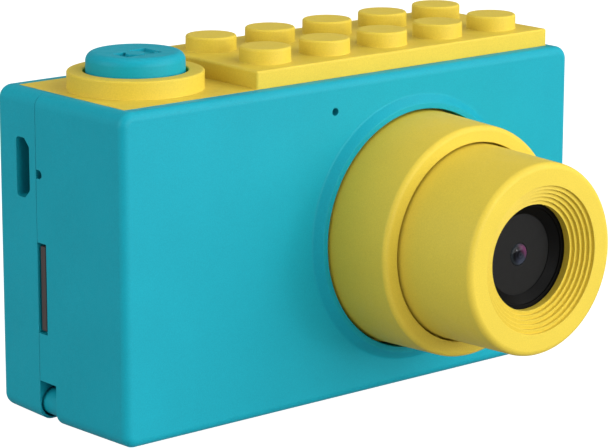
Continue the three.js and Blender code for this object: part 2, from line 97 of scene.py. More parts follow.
card_low, card_high = laid_out("microsd_card")
lamp_low, lamp_high = laid_out("charge_lamp")
USB_Y0, USB_Y1, USB_Z, USB_H, USB_CUT = 19.25, 22.15, 32.67, 7.7, 1.05
window_low, window_high = laid_out("display_window")
ok_low, ok_high = laid_out("ok_key")
PAD = (ok_low + ok_high) / 2
KEY_BACK = ok_high.y
PAD_R0, PAD_R1, OK_R, KEY_R = 3.6, 7.2, 2.7, 2.4
ARROWS = {"right_key": 180, "up_key": 90, "left_key": 0, "down_key": 270}
SCREWS = [(laid_out(f"case_screw_{i}")[0] + laid_out(f"case_screw_{i}")[1]) / 2 for i in (1, 2, 3, 4)]


# ---------------------------------------------------------------- outlines
def rounded(points, steps=6):
    """Points are (u, v, radius): each corner with a radius turns into an arc."""
    out = []
    for i, (u, v, radius) in enumerate(points):
        here = Vector((u, v))
        if radius <= 0:
            out.append(here)
            continue
        before = Vector(points[i - 1][:2]) - here
        after = Vector(points[(i + 1) % len(points)][:2]) - here
        before.normalize(), after.normalize()
        half = before.angle(after) / 2
        if half > math.radians(88):
            out.append(here)
            continue
        reach = radius / math.tan(half)
        centre = here + (before + after).normalized() * radius / math.sin(half)
        a, b = here + before * reach - centre, here + after * reach - centre
        turn = a.angle_signed(b)
        for k in range(steps + 1):
            t = -turn * k / steps
            cos, sin = math.cos(t), math.sin(t)
            out.append(centre + Vector((a.x * cos - a.y * sin, a.x * sin + a.y * cos)))
    return out


def rectangle(u0, u1, v0, v1, radius=0.0, steps=8):
    return rounded([(u0, v0, radius), (u1, v0, radius), (u1, v1, radius), (u0, v1, radius)], steps)


def circle(u, v, radius, steps=48):
    turns = [2 * math.pi * i / steps for i in range(steps)]
    return [Vector((u + radius * math.cos(t), v + radius * math.sin(t))) for t in turns]


def grown(outline, grow):
    """An outline pushed out by a distance along its corner normals."""
    if abs(grow) < 1e-9:
        return list(outline)
    out, n = [], len(outline)
    area = sum(outline[i - 1].x * outline[i].y - outline[i].x * outline[i - 1].y for i in range(n))
    for i, p in enumerate(outline):
        e0 = (p - outline[i - 1]).normalized()
        e1 = (outline[(i + 1) % n] - p).normalized()
        n0, n1 = Vector((e0.y, -e0.x)), Vector((e1.y, -e1.x))
        push = (n0 + n1) / max(0.3, 1 + n0.dot(n1)) * (1 if area > 0 else -1)
        out.append(p + push * grow)
    return out


# ---------------------------------------------------------------- solids as bmesh
def place(u, v, h, axis):
    return {"X": Vector((h, u, v)), "Y": Vector((u, h, v)), "Z": Vector((u, v, h))}[axis]


def tidy_up(bm):
    bmesh.ops.remove_doubles(bm, verts=bm.verts[:], dist=1e-5)
    bmesh.ops.dissolve_degenerate(bm, dist=1e-6, edges=bm.edges[:])
    bmesh.ops.recalc_face_normals(bm, faces=bm.faces[:])
    return bm


def loft(loops):
    """A closed solid through loops of the same number of points, with a flat cap at each end."""
    bm = bmesh.new()
    rows = [[bm.verts.new(p) for p in loop] for loop in loops]
    n = len(rows[0])
    for low, high in zip(rows, rows[1:]):
        for i in range(n):
            bm.faces.new((low[i], low[(i + 1) % n], high[(i + 1) % n], high[i]))
    bm.faces.new(rows[0][::-1])
    bm.faces.new(rows[-1])
    return tidy_up(bm)


def prism(outline, axis, h0, h1, edge0=0.0, edge1=0.0, steps=4):
    """An outline pushed along an axis, with rounded rims at either end."""
    levels = []
    for k in range(steps + 1 if edge0 else 1):
        t = math.pi / 2 * k / steps
        levels.append((-edge0 * (1 - math.sin(t)), h0 + edge0 * (1 - math.cos(t))))
    for k in range(steps + 1 if edge1 else 1):
        t = math.pi / 2 * (1 - k / steps)
        levels.append((-edge1 * (1 - math.sin(t)), h1 - edge1 * (1 - math.cos(t))))
    return loft([[place(p.x, p.y, h, axis) for p in grown(outline, g)] for g, h in levels])


def opening(outline, axis, surface, outward, depth, soft, steps=5):
    """A cutter whose mouth flares out in a rounded lip where it meets the surface."""
    limit = math.radians(75)
    levels = [(0.0, surface - outward * depth)]
    for k in range(steps + 1):
        t = limit * k / steps
        levels.append((soft * (1 - math.cos(t)), surface - outward * soft * (1 - math.sin(t))))
    reach = 0.3
    g, h = levels[-1]
    levels.append((g + reach * math.sin(limit), h + outward * reach * math.cos(limit)))
    levels.append((levels[-1][0], levels[-1][1] + outward * 2))
    return loft([[place(p.x, p.y, hh, axis) for p in grown(outline, gg)] for gg, hh in levels])


def turned(profile, axis, cu, cv, steps=128, arc=6):
    """A closed profile of (radius, height, rounding) turned about an axis."""
    line = rounded(profile, arc)
    bm = bmesh.new()
    rows = []
    for p in line:
        if p.x < 1e-6:
            rows.append([bm.verts.new(place(cu, cv, p.y, axis))] * steps)
        else:
            rows.append([bm.verts.new(place(q.x, q.y, p.y, axis)) for q in circle(cu, cv, p.x, steps)])
    for a, b in zip(rows, rows[1:] + rows[:1]):
        for i in range(steps):
            j = (i + 1) % steps
            corners = []
            for vert in (a[i], a[j], b[j], b[i]):
                if vert not in corners:
                    corners.append(vert)
            if len(corners) > 2:
                bm.faces.new(corners)
    return tidy_up(bm)


def box(x0, x1, y0, y1, z0, z1, soft=0.0, steps=3, edges=None):
    bm = bmesh.new()
    bmesh.ops.create_cube(bm, size=1)
    for vert in bm.verts:
        vert.co = Vector(((x0 + x1) / 2 + vert.co.x * (x1 - x0), (y0 + y1) / 2 + vert.co.y * (y1 - y0),
                          (z0 + z1) / 2 + vert.co.z * (z1 - z0)))
    if soft:
        chosen = [e for e in bm.edges if edges is None or edges(e)]
        bmesh.ops.bevel(bm, geom=chosen, offset=soft, segments=steps, profile=0.5, affect="EDGES",
                        clamp_overlap=True)
    return tidy_up(bm)


def to_object(bm, name="work"):
    mesh = bpy.data.meshes.new(name)
    bm.to_mesh(mesh)
    obj = bpy.data.objects.new(name, mesh)
    bpy.context.scene.collection.objects.link(obj)
    return obj


def combine(bm, tools, operation):
    """The boolean of one solid with several, one after the other."""
    for tool in tools:
        a, b = to_object(bm), to_object(tool)
        mod = a.modifiers.new("b", "BOOLEAN")
        mod.operation, mod.solver, mod.object = operation, "MANIFOLD", b
        result = bpy.data.meshes.new_from_object(a.evaluated_get(bpy.context.evaluated_depsgraph_get()))
        bm.free()
        tool.free()
        bm = bmesh.new()
        bm.from_mesh(result)
        for spare in (a, b):
            mesh = spare.data
            bpy.data.objects.remove(spare)
            bpy.data.meshes.remove(mesh)
        bpy.data.meshes.remove(result)
    return bm


def cut(bm, *tools):
    return combine(bm, tools, "DIFFERENCE")


def join(bm, *tools):
    return combine(bm, tools, "UNION")


def both(bm, *tools):
    return combine(bm, tools, "INTERSECT")


def settle_normals(mesh):
    """Corner normals weighted by the area of the whole flat face that each facet belongs to."""
    bm = bmesh.new()
    bm.from_mesh(mesh)
    region, areas = {}, []
    for first in bm.faces:
        if first in region:
            continue
        region[first] = len(areas)
        waiting, area = [first], 0.0
        while waiting:
            face = waiting.pop()
            area += face.calc_area()
            for edge in face.edges:
                for other in edge.link_faces:
                    if other not in region and face.normal.dot(other.normal) > 0.999999:
                        region[other] = region[first]
                        waiting.append(other)
        areas.append(area)
    shown = {}
    for vert in bm.verts:
        left = set(vert.link_faces)
        while left:
            fan, waiting = set(), [left.pop()]
            while waiting:
                face = waiting.pop()
                fan.add(face)
                for edge in face.edges:
                    if vert in edge.verts and edge.smooth:
                        for other in edge.link_faces:
                            if other in left:
                                left.discard(other)
                                waiting.append(other)
            total = sum(({region[f]: f.normal * areas[region[f]] for f in fan}).values(), Vector())
            for face in fan:
                shown[vert, face] = total.normalized() if total.length > 0 else face.normal.copy()
    mesh.normals_split_custom_set([shown[vert, face] for face in bm.faces for vert in face.verts])
    bm.free()


def piece(name, bm, material, slot, body, *nodes, sharp=32):
    """Turns a layout solid into a shown piece: metres, row frame, smooth shading kept flat on flat faces."""
    bmesh.ops.remove_doubles(bm, verts=bm.verts[:], dist=1e-4)
    bmesh.ops.dissolve_degenerate(bm, dist=1e-5, edges=bm.edges[:])
    bmesh.ops.transform(bm, matrix=Matrix.Translation(ORIGIN) @ Matrix.Scale(MM, 4), verts=bm.verts[:])
    bmesh.ops.recalc_face_normals(bm, faces=bm.faces[:])
    obj = to_object(bm, name)
    bm.free()
    obj.data.shade_smooth()
    obj.data.set_sharp_from_angle(angle=math.radians(sharp))
    settle_normals(obj.data)
    obj.data.materials.append(material)
    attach(obj, body)
    if nodes:
        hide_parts(*nodes)
    return obj


# ---------------------------------------------------------------- materials
def linear(*rgb):
    """An sRGB colour in 0 to 255 as linear light."""
    out = []
    for c in rgb:
        c /= 255
        out.append(c / 12.92 if c <= 0.04045 else ((c + 0.055) / 1.055) ** 2.4)
    return (*out, 1.0)


class Look:
    """A node material on object coordinates, with one Principled surface."""

    def __init__(self, name, colour, roughness, **sockets):
        self.material = bpy.data.materials.new(name)
        self.material.use_nodes = True
        self.tree = self.material.node_tree
        self.surface = next(n for n in self.tree.nodes if n.type == "BSDF_PRINCIPLED")
        self.surface.inputs["Base Color"].default_value = colour
        self.surface.inputs["Roughness"].default_value = roughness
        for socket, value in sockets.items():
            self.surface.inputs[socket.replace("_", " ")].default_value = value
        self.colour, self.roughness = colour, roughness
        self.where = self.node("ShaderNodeTexCoord").outputs["Object"]

    def node(self, kind, **settings):
        n = self.tree.nodes.new(kind)
        for key, value in settings.items():
            setattr(n, key, value)
        return n

    def link(self, a, b):
        self.tree.links.new(a, b)

    def noise(self, size_mm, detail=2.0):
        """Noise whose features are about size_mm across."""
        n = self.node("ShaderNodeTexNoise")
        n.inputs["Scale"].default_value = 1 / (size_mm * MM)
        n.inputs["Detail"].default_value = detail
        n.inputs["Roughness"].default_value = 0.5
        self.link(self.where, n.inputs["Vector"])
        return n.outputs["Fac"]

    def spread(self, value, low, high, source=(0.3, 0.7)):
        n = self.node("ShaderNodeMapRange")
        n.inputs["From Min"].default_value, n.inputs["From Max"].default_value = source
        n.inputs["To Min"].default_value, n.inputs["To Max"].default_value = low, high
        self.link(value, n.inputs["Value"])
        return n.outputs["Result"]

    def mix(self, factor, a, b):
        n = self.node("ShaderNodeMix", data_type="RGBA")
        for socket, value in ((n.inputs[0], factor), (n.inputs[6], a), (n.inputs[7], b)):
            if isinstance(value, (tuple, float)):
                socket.default_value = value
            else:
                self.link(value, socket)
        return n.outputs[2]

    def mottle(self, size_mm, amount):
        """Slight drift of the colour over the surface."""
        dark = tuple(c * (1 - amount) for c in self.colour[:3]) + (1.0,)
        light = tuple(min(1.0, c * (1 + amount)) for c in self.colour[:3]) + (1.0,)
        return self.mix(self.spread(self.noise(size_mm, 3.0), 0.0, 1.0), dark, light)

    def worn(self, colour, amount):
        """Slightly paler edges, where the surface turns within a short reach."""
        reach_mm, start, end = 0.25, 0.02, 0.12
        bevel = self.node("ShaderNodeBevel", samples=4)
        bevel.inputs["Radius"].default_value = reach_mm * MM
        turn = self.node("ShaderNodeVectorMath", operation="DOT_PRODUCT")
        self.link(bevel.outputs["Normal"], turn.inputs[0])
        self.link(self.node("ShaderNodeNewGeometry").outputs["Normal"], turn.inputs[1])
        edge = self.spread(turn.outputs["Value"], amount, 0.0, (1 - end, 1 - start))
        pale = tuple(min(1.0, c * 0.75 + 0.25) for c in self.colour[:3]) + (1.0,)
        return self.mix(edge, colour, pale)

    def speckled(self, colour, size_mm, amount):
        """A fine spread of lighter and darker points, as in pigmented plastic."""
        n = self.node("ShaderNodeHueSaturation")
        self.link(self.spread(self.noise(size_mm), 1 - amount, 1 + amount), n.inputs["Value"])
        self.link(colour, n.inputs["Color"])
        return n.outputs["Color"]

    def finish(self, colour, grain_mm, grain_height_mm, rough_spread=0.05):
        """Colour, uneven roughness and the surface grain, all joined to the surface."""
        self.link(colour, self.surface.inputs["Base Color"])
        low, high = self.roughness - rough_spread, self.roughness + rough_spread
        self.link(self.spread(self.noise(grain_mm * 6), low, high), self.surface.inputs["Roughness"])
        bump = self.node("ShaderNodeBump")
        bump.inputs["Strength"].default_value = 1.0
        bump.inputs["Distance"].default_value = grain_height_mm * MM
        self.link(self.noise(grain_mm), bump.inputs["Height"])
        self.link(bump.outputs["Normal"], self.surface.inputs["Normal"])
        return self.material


def moulded(name, colour, roughness, grain=0.22, height=0.006, drift=0.025, wear=0.10, **sockets):
    look = Look(name, colour, roughness, **sockets)
    speckle_mm, speckle = 0.16, 0.06
    colour = look.speckled(look.worn(look.mottle(9.0, drift), wear), speckle_mm, speckle)
    return look.finish(colour, grain, height)


def metal(name, colour, roughness, streak=0.12, height=0.002, **sockets):
    look = Look(name, colour, roughness, Metallic=1.0, **sockets)
    return look.finish(look.worn(look.mottle(2.5, 0.10), 0.25), streak, height, 0.08)


TEAL = linear(14, 151, 169)
YELLOW = linear(211, 186, 65)
teal = moulded("teal_abs", TEAL, 0.5, wear=0.05, Specular_IOR_Level=0.16)
yellow = moulded("yellow_abs", YELLOW, 0.5, wear=0.05, Specular_IOR_Level=0.2)
key_yellow = moulded("yellow_keys", YELLOW, 0.42, grain=0.3, height=0.004, Specular_IOR_Level=0.25)
black = moulded("black_pc", linear(12, 12, 12), 0.5, wear=0.01, Specular_IOR_Level=0.12)
bezel_black = moulded("bezel_pc", linear(6, 6, 6), 0.5, wear=0.005, Specular_IOR_Level=0.08)
dark_disc = moulded("disc_pc", linear(24, 24, 24), 0.55, wear=0.01, Specular_IOR_Level=0.12)
card_dark = moulded("card_resin", linear(62, 50, 48), 0.45, grain=0.12, wear=0.06)
steel = metal("screw_steel_zinc", linear(176, 178, 184), 0.3)
# painted shade: the port's steel shell is coloured near-black to stand for the shade inside the port
port_shell_painted_shade = metal("port_steel_painted_shade", linear(5, 5, 5), 0.6)
sheet = metal("stamped_sheet", linear(186, 188, 192), 0.33)
silicone = moulded("dome_silicone", linear(222, 222, 214), 0.7, grain=0.5, height=0.01)
flex = moulded("polyimide_ribbon", linear(196, 118, 42), 0.35, grain=0.6, height=0.004)
foil = metal("battery_foil_wrap", linear(206, 208, 212), 0.36, streak=0.6, height=0.01)
lamp_lens = moulded("lamp_epoxy", linear(232, 228, 214), 0.2, grain=0.5, height=0.002)


def circuit():
    """Green solder mask with copper tracks showing faintly under it."""
    look = Look("green_circuit_board", linear(24, 96, 56), 0.38)
    bricks = look.node("ShaderNodeTexVoronoi", feature="DISTANCE_TO_EDGE", distance="CHEBYCHEV")
    bricks.inputs["Scale"].default_value = 1 / (1.6 * MM)
    look.link(look.where, bricks.inputs["Vector"])
    tracks = look.spread(bricks.outputs["Distance"], 1.0, 0.0, (0.04, 0.09))
    colour = look.mix(tracks, look.mottle(6.0, 0.08), linear(40, 128, 78))
    return look.finish(colour, 0.4, 0.006)


def window_glass():
    """Black-backed display window whose colour drifts slightly at random over its face."""
    look = Look("display_window_black", linear(12, 13, 16), 0.06, Coat_Weight=0.6, Coat_Roughness=0.03)
    return look.finish(look.mottle(8.0, 0.15), 1.5, 0.0008, 0.02)


def painted_reflection_glass():
    """The small lens: dark glass whose colour carries painted reflections: a painted violet sheen of the
    coating towards the upper right, painted blue-grey rings and blue-grey below, painted shade on the left
    and a lighter painted rim.
    """
    look = Look("lens_glass_painted_reflections", linear(14, 13, 18), 0.03, Specular_IOR_Level=0.09)
    radius = (laid_out("lens_glass")[1].x - LENS.x) * MM
    centre = ORIGIN + Vector((LENS.x, 0, LENS.z)) * MM

    def towards(x, z, low, high):
        """0 to 1 along a direction across the lens, measured in lens radii from its centre."""
        offset = look.node("ShaderNodeVectorMath", operation="SUBTRACT")
        look.link(look.where, offset.inputs[0])
        offset.inputs[1].default_value = centre
        along = look.node("ShaderNodeVectorMath", operation="DOT_PRODUCT")
        look.link(offset.outputs["Vector"], along.inputs[0])
        along.inputs[1].default_value = Vector((x, 0, z)).normalized() / radius
        return look.spread(along.outputs["Value"], 0.0, 1.0, (low, high))

    # painted reflection: blue-grey rings, as of inner lens elements, painted into the glass colour
    rings = look.node("ShaderNodeTexWave", wave_type="RINGS", rings_direction="Y")
    rings.inputs["Scale"].default_value = 1.0
    scaled = look.node("ShaderNodeVectorMath", operation="MULTIPLY_ADD")
    look.link(look.where, scaled.inputs[0])
    scaled.inputs[1].default_value = (0.9 / radius,) * 3
    scaled.inputs[2].default_value = centre * (-0.9 / radius)
    look.link(scaled.outputs["Vector"], rings.inputs["Vector"])
    dark = look.mix(look.spread(rings.outputs["Fac"], 0.0, 0.35), look.mottle(0.6, 0.3), linear(52, 56, 68))
    # painted reflection: blue-grey towards the bottom of the lens
    blue = look.mix(towards(0.3, -1.0, -0.1, 0.9), dark, linear(58, 64, 80))
    # painted sheen: the coating's violet reflection, painted towards the upper right
    violet = look.mix(towards(0.75, 0.6, 0.15, 0.8), blue, linear(104, 52, 88))
    # painted shade: darker towards the left side of the lens
    left_painted_shade = look.mix(towards(-1.0, 0.1, 0.0, 0.7), violet, linear(8, 8, 10))
    # painted highlight: a lighter grey-blue rim all around the lens
    across = look.node("ShaderNodeVectorMath", operation="MULTIPLY_ADD")
    look.link(look.where, across.inputs[0])
    across.inputs[1].default_value = (1 / radius, 0, 1 / radius)
    across.inputs[2].default_value = (-centre.x / radius, 0, -centre.z / radius)
    reach = look.node("ShaderNodeVectorMath", operation="LENGTH")
    look.link(across.outputs["Vector"], reach.inputs[0])
    rim = look.spread(reach.outputs["Value"], 0.0, 1.0, (0.72, 1.0))
    return look.finish(look.mix(rim, left_painted_shade, linear(44, 50, 55)), 0.6, 0.0004, 0.01)


board = circuit()
window = window_glass()
glass = painted_reflection_glass()

KEPT = {
    "shutter_switch": black, "shutter_board": board, "camera_module": black, "module_bracket": black,
    "sensor_board": board, "sensor_flex": flex, "main_board": board, "battery": foil, "lcd_module": sheet,
    "key_board": board, "dome_sheet": silicone, "microsd_socket": sheet, "charge_lamp": lamp_lens,
    "microphone": sheet, "speaker": black, "usb_tongue": black,
}
for name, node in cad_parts.items():
    finish = KEPT.get(name, steel if "_screw_" in name else None)
    if finish:
        node.data.materials.clear()
        node.data.materials.append(finish)


# ---------------------------------------------------------------- covers
def half_keeper(front):
    """The side of the parting plane that a cover keeps, with a rim rounded where the covers meet."""
    rim, side, margin, far, flare = 0.06, -1 if front else 1, 3.0, 30.0, 1.5
    face = PARTING + side * SEAM
    start, steps = math.radians(15), 4
    g, y = -rim * (1 - math.cos(start)), face + side * rim * (1 - math.sin(start))
    levels = [(side * far + PARTING, margin),
              (y + side * flare * math.cos(start) + side * 0.01, margin),
              (y + side * flare * math.cos(start), g + flare * math.sin(start))]
    for k in range(steps + 1):
        t = start + (math.pi / 2 - start) * k / steps
        levels.append((face + side * rim * (1 - math.sin(t)), -rim * (1 - math.cos(t))))
    return loft([[place(p.x, p.y, y, "Y") for p in rectangle(-g, WIDTH + g, -g, HEIGHT + g, ROUND + g)]
                 for y, g in levels])


def body_shell():
    """The whole body: widest at the parting plane, with a slight draft towards the front and back faces."""
    steps = 10
    levels = [(RIM * (1 - math.cos(math.pi / 2 * k / steps)), RIM * (1 - math.sin(math.pi / 2 * k / steps)))
              for k in range(steps + 1)]
    places = levels + [(PARTING, 0.0)] + [(DEPTH - y, inset) for y, inset in levels[::-1]]
    loops = []
    for y, inset in places:
        if y < PARTING:
            slant = DRAFT_FRONT * (1 - y / PARTING)
        else:
            slant = DRAFT_REAR * (y - PARTING) / (DEPTH - PARTING)
        side = inset + slant
        outline = rectangle(side, WIDTH - side, side, HEIGHT - inset, ROUND - inset, 12)
        loops.append([place(p.x, p.y, y, "Y") for p in outline])
    return loft(loops)


def drum(radius, h0, h1, axis, cu, cv, steps=24):
    """A plain round column."""
    return turned([(0, h0, 0), (radius, h0, 0), (radius, h1, 0), (0, h1, 0)], axis, cu, cv, steps)


def cover_blank(front):
    """One cover's shell: its hollow half of the body, with the top panel's seat and the button's well."""
    gap = 0.09
    recess = rectangle(panel_low.x - gap, panel_high.x + gap, panel_low.y - gap, panel_high.y + gap, 0.12, 3)
    return cut(both(body_shell(), half_keeper(front)),
               box(WALL, WIDTH - WALL, WALL, DEPTH - WALL, WALL, LEDGE - WALL),
               opening(recess, "Z", HEIGHT, 1, HEIGHT - LEDGE, 0.05),
               drum(FLANGE_R + 0.6, LEDGE - 3, LEDGE + 1, "Z", BUTTON.x, BUTTON.y, 64))


STRAP = {"y": 14.4, "x": 6.0, "z": 5.4, "post": (2.3, 2.25), "r": 1.75, "socket": 1.9}
MIC_X, MIC_Z, MIC_R = 34.15, 38.6, 0.5


def lamp_outline():
    """The charge lamp's hole: half round, and open towards the joint between the covers."""
    y, z, r = PARTING - 0.65, (lamp_low.z + lamp_high.z) / 2, 0.57
    arc = [Vector((y + r * math.cos(math.radians(a)), z + r * math.sin(math.radians(a))))
           for a in range(90, 271, 12)]
    return arc + [Vector((PARTING + 3, z - r)), Vector((PARTING + 3, z + r))]


def front_cover():
    collar = turned([(BORE_R, 1.2, 0), (18.6, 1.2, 0), (18.6, 0.05, 0), (17.74, -0.02, 0.45),
                     (16.72, -COLLAR_RISE, 0.28), (BORE_R, -COLLAR_RISE, 0.12)], "Y", LENS.x, LENS.z, 160)
    housing = box(1, STRAP["x"] + 1.5, STRAP["y"] - 1.5, PARTING - SEAM, 1, STRAP["z"] + 1.5)
    pocket_outline = rectangle(STRAP["y"], PARTING + 3, -3, STRAP["z"], 0.12, 3)
    post_end = PARTING + 0.9
    post = turned([(0, STRAP["y"] - 0.5, 0), (STRAP["r"], STRAP["y"] - 0.5, 0), (STRAP["r"], post_end, 0.12),
                   (0, post_end, 0)], "Y", *STRAP["post"], 48)
    slot = rectangle(card_low.y - 0.48, PARTING + 3, card_low.z - 0.42, card_high.z + 0.42, 0.06, 3)
    posts = [drum(1.9, 1, PARTING - 0.1, "Y", s.x, s.z) for s in SCREWS]
    cover = join(cover_blank(True), collar, housing, *posts)
    flange_r = OUTER_FLANGE_R + 0.3
    bore = turned([(0, -3, 0), (BORE_R, -3, 0), (BORE_R, 3, 0), (flange_r, 3, 0), (flange_r, 6.2, 0),
                   (0, 6.2, 0)], "Y", LENS.x, LENS.z, 160)
    cover = cut(cover,
                bore,
                opening(pocket_outline, "X", 0, -1, STRAP["x"], 0.05),
                opening(slot, "X", 0, -1, WALL + 0.8, 0.04),
                opening(lamp_outline(), "X", 0, -1, WALL + 0.8, 0.03),
                opening(circle(MIC_X, MIC_Z, MIC_R, 32), "Y", 0, -1, WALL + 0.5, 0.06))
    return join(cover, post)


def strap_socket():
    """The blind hole that the strap post ends in, and the notch above it for threading a cord."""
    (x, z), radius = STRAP["post"], STRAP["r"] + 0.3
    return (opening(circle(x, z, radius, 64), "Y", PARTING + SEAM, -1, STRAP["socket"] - SEAM, 0.03),
            box(x - 0.05, STRAP["x"], PARTING - 1, 21, z + 1, STRAP["z"] - 0.03))


def usb_outline(grow=0.0):
    y0, y1, z0, z1 = USB_Y0, USB_Y1, USB_Z - USB_H / 2, USB_Z + USB_H / 2
    return grown(rounded([(y0, z0 + USB_CUT, 0.25), (y0 + USB_CUT, z0, 0.25), (y1, z0, 0.55), (y1, z1, 0.55),
                          (y0 + USB_CUT, z1, 0.25), (y0, z1 - USB_CUT, 0.25)], 5), grow)


def pad_arc(radius, start, end, steps, corner):
    """Points of an arc about the pad's centre, with a rounding at its first and last point."""
    out = []
    for k in range(steps + 1):
        a = start + (end - start) * k / steps
        rounding = corner if k in (0, steps) else 0
        out.append((PAD.x + radius * math.cos(a), PAD.z + radius * math.sin(a), rounding))
    return out


def arrow_outline(turn, grow=0.0):
    """A ring sector for one arrow key, with rounded corners."""
    t, half = math.radians(turn), math.radians(38) + grow / PAD_R1
    outer_corner, inner_corner = 0.45, 0.36
    return rounded(pad_arc(PAD_R1 + grow, t - half, t + half, 16, outer_corner)
                   + pad_arc(PAD_R0 - grow, t + half, t - half, 8, inner_corner), 4)


def round_keys():
    return {name: sum(laid_out(name), Vector()) / 2 for name in ("power_key", "menu_key")}


def rear_cover():
    strap_wall = box(1, STRAP["x"] + 1.5, PARTING + SEAM, 20, 1, STRAP["z"] + 1.5)
    tubes = [drum(2.4, PARTING + 0.1, DEPTH - 1, "Y", s.x, s.z, 32) for s in SCREWS]
    w0, w1, z0, z1 = window_low.x, window_high.x, window_low.z, window_high.z
    seat = rectangle(w0 - 0.08, w1 + 0.08, z0 - 0.08, z1 + 0.08, 2.5)
    lip = rectangle(w0 + 1.2, w1 - 1.2, z0 + 1.2, z1 - 1.2, 1.6)
    holes = [opening(circle(PAD.x, PAD.z, OK_R + 0.2, 64), "Y", DEPTH, 1, WALL + 1, 0.12)]
    holes += [opening(arrow_outline(t, 0.2), "Y", DEPTH, 1, WALL + 1, 0.02) for t in ARROWS.values()]
    holes += [opening(circle(c.x, c.z, KEY_R + 0.2, 64), "Y", DEPTH, 1, WALL + 1, 0.12)
              for c in round_keys().values()]
    for s in SCREWS:
        holes.append(opening(circle(s.x, s.z, 1.75, 40), "Y", DEPTH, 1, DEPTH - 24.3, 0.15))
        holes.append(drum(1.15, PARTING - 1, DEPTH + 1, "Y", s.x, s.z, 32))
    cover = join(cover_blank(False), strap_wall, *tubes)
    return cut(cover,
               opening(usb_outline(), "X", 0, -1, WALL + 0.5, 0.04),
               opening(seat, "Y", DEPTH, 1, 1.6, 0.15),
               prism(lip, "Y", DEPTH - WALL - 1, DEPTH + 1),
               *strap_socket(),
               *holes)


piece("front_shell", front_cover(), teal, "teal_plastic", "case", "front_cover")
piece("rear_shell", rear_cover(), teal, "teal_plastic", "case", "rear_cover")


# ---------------------------------------------------------------- top panel and shutter button
def top_panel():
    x0, x1, y0, y1 = panel_low.x, panel_high.x, panel_low.y, panel_high.y
    wall = 1.8

    def upper(edge):
        """The block's top edges and its upright ones."""
        a, b = edge.verts[0].co, edge.verts[1].co
        return max(a.z, b.z) > BLOCK_TOP - 0.01 or abs(a.x - b.x) + abs(a.y - b.y) < 1e-4

    def core():
        return box(BLOCK_X + wall, x1 - wall, y0 + wall, y1 - wall, PANEL_Z - 1, BLOCK_TOP - 1.6)

    plate = box(x0, x1, y0, y1, PANEL_Z, HEIGHT, 0.05, 2)
    block = box(BLOCK_X, x1, y0, y1, PANEL_Z + 0.1, BLOCK_TOP, 0.3, 5, upper)
    ring_top = HEIGHT + RING_H
    ring = turned([(0, PANEL_Z + 0.2, 0), (RING_R + 0.5, PANEL_Z + 0.2, 0), (RING_R + 0.5, HEIGHT - 0.02, 0),
                   (RING_R, HEIGHT + 0.03, 0.1), (RING_R, ring_top, 0.26), (0, ring_top, 0)],
                  "Z", BUTTON.x, BUTTON.y, 128)
    panel = join(cut(plate, core()), cut(block, core()), ring)
    for column in range(5):
        for row in range(2):
            stud = turned([(0, BLOCK_TOP - 0.6, 0), (STUD_R + 0.4, BLOCK_TOP - 0.6, 0),
                           (STUD_R + 0.4, BLOCK_TOP - 0.02, 0), (STUD_R, BLOCK_TOP + 0.02, 0.12),
                           (STUD_R - 0.02, STUD_TOP, 0.32), (0, STUD_TOP, 0)],
                          "Z", STUD_X + column * PITCH_X, STUD_Y + row * PITCH_Y, 72)
            panel = join(panel, stud)
    return cut(panel, opening(circle(BUTTON.x, BUTTON.y, BUTTON_R + 0.3, 96), "Z", ring_top, 1, 6, 0.2))


def shutter_button():
    flange = PANEL_Z - 0.3
    stem_r, flange_low = 1.8, flange - 1.3
    solid = turned([(0, button_low.z, 0), (stem_r, button_low.z, 0.2), (stem_r, flange_low, 0),
                    (FLANGE_R, flange_low, 0.2), (FLANGE_R, flange, 0.2), (BUTTON_R, flange, 0),
                    (BUTTON_R - 0.03, BUTTON_TOP, 1.15), (0, BUTTON_TOP, 0)],
                   "Z", BUTTON.x, BUTTON.y, 128, 10)
    u, v, sunk = BUTTON.x - 0.95, BUTTON.y - 1.2, 0.4
    symbol_outline = rounded([(u - 2.75, v - 1.9, 0.25), (u + 3.0, v - 1.9, 0.12), (u + 3.0, v + 1.95, 0.12),
                              (u + 0.5, v + 1.95, 0.12), (u + 0.1, v + 1.15, 0.2),
                              (u - 2.75, v + 1.15, 0.25)], 4)
    symbol = cut(prism(symbol_outline, "Z", BUTTON_TOP - sunk, BUTTON_TOP + 1),
                 prism(circle(u, v, 1.2, 48), "Z", BUTTON_TOP - 1, BUTTON_TOP + 2),
                 box(u + 2.1, u + 2.55, v - 1.45, v - 1.0, BUTTON_TOP - 1, BUTTON_TOP + 2))
    return cut(solid, symbol)


piece("brick_panel", top_panel(), yellow, "yellow_plastic", "case", "top_panel")
piece("shutter_cap", shutter_button(), teal, "teal_plastic", "shutter", "shutter_button")


# ---------------------------------------------------------------- lens
def outer_barrel():
    return turned([(HOLE_R, OUTER_FRONT, 0.1), (HOLE_R, OUTER_FRONT + 1.8, 0),
                   (OUTER_R - OUTER_WALL, OUTER_FRONT + 1.8, 0), (OUTER_R - OUTER_WALL, outer_high.y, 0),
                   (OUTER_FLANGE_R, outer_high.y, 0.2), (OUTER_FLANGE_R, WALL + 0.3, 0.2),
                   (OUTER_ROOT, WALL + 0.3, 0), (OUTER_R, OUTER_FRONT, 0.75)],
                  "Y", LENS.x, LENS.z, 160, 8)


def inner_barrel():
    steps, deep, lift = 5, 0.36, 0.13
    drop = (MOUTH_R - FLOOR_R) / steps
    profile = []
    for i in range(steps):
        edge = MOUTH_R - i * drop
        profile += [(edge, INNER_FRONT + i * deep, 0.04), (edge, INNER_FRONT + (i + 1) * deep + lift, 0.02)]
    floor, shoulder = -20.9, OUTER_FRONT + 2.1
    back, bore = shoulder + 1.4, INNER_R - INNER_WALL
    profile += [(FLOOR_R, INNER_FRONT + steps * deep, 0.035), (FLOOR_R, floor, 0), (bore, floor, 0),
                (bore, back, 0), (INNER_FLANGE_R, back, 0), (INNER_FLANGE_R, shoulder, 0),
                (INNER_ROOT, shoulder, 0), (INNER_R, INNER_FRONT, 0.85)]
    return turned(profile, "Y", LENS.x, LENS.z, 160, 6)


